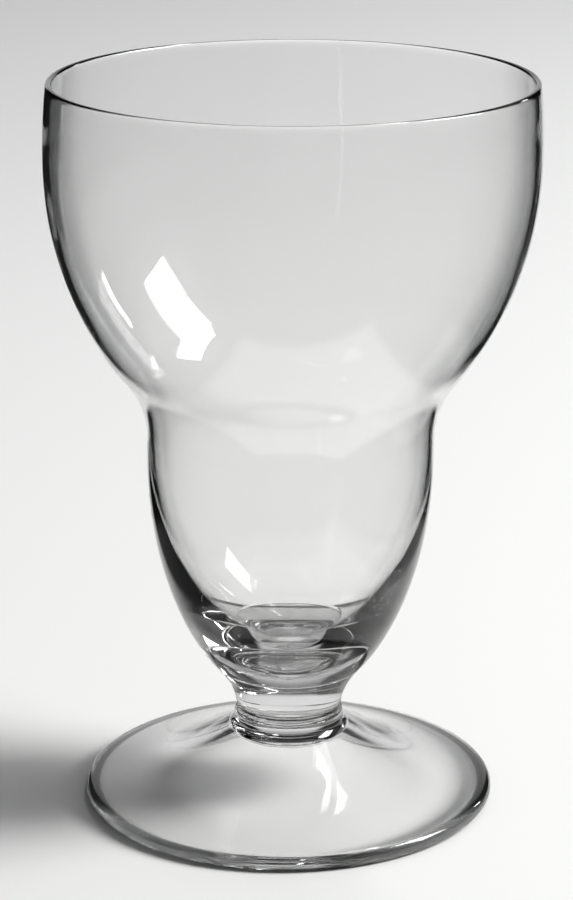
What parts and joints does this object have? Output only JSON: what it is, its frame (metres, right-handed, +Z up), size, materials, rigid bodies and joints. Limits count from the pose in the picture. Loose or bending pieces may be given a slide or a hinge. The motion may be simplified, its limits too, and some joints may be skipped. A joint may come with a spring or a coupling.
{
  "type": "water goblet",
  "caption": "Footed drinking goblet in clear hand-blown glass: a tall double-bulged bowl on a short solid stem and a wide domed foot.",
  "frame": {"origin": "centre of the foot's resting ring, on the table", "axes": "+Z up along the goblet's axis, towards the rim"},
  "size_m": [0.0954, 0.0954, 0.1452],
  "materials": {
    "clear_glass": "fire-polished, clear and smooth"
  },
  "bodies": {
    "root": {"foot": "clear_glass", "stem": "clear_glass", "bowl": "clear_glass"}
  },
  "joints": []
}
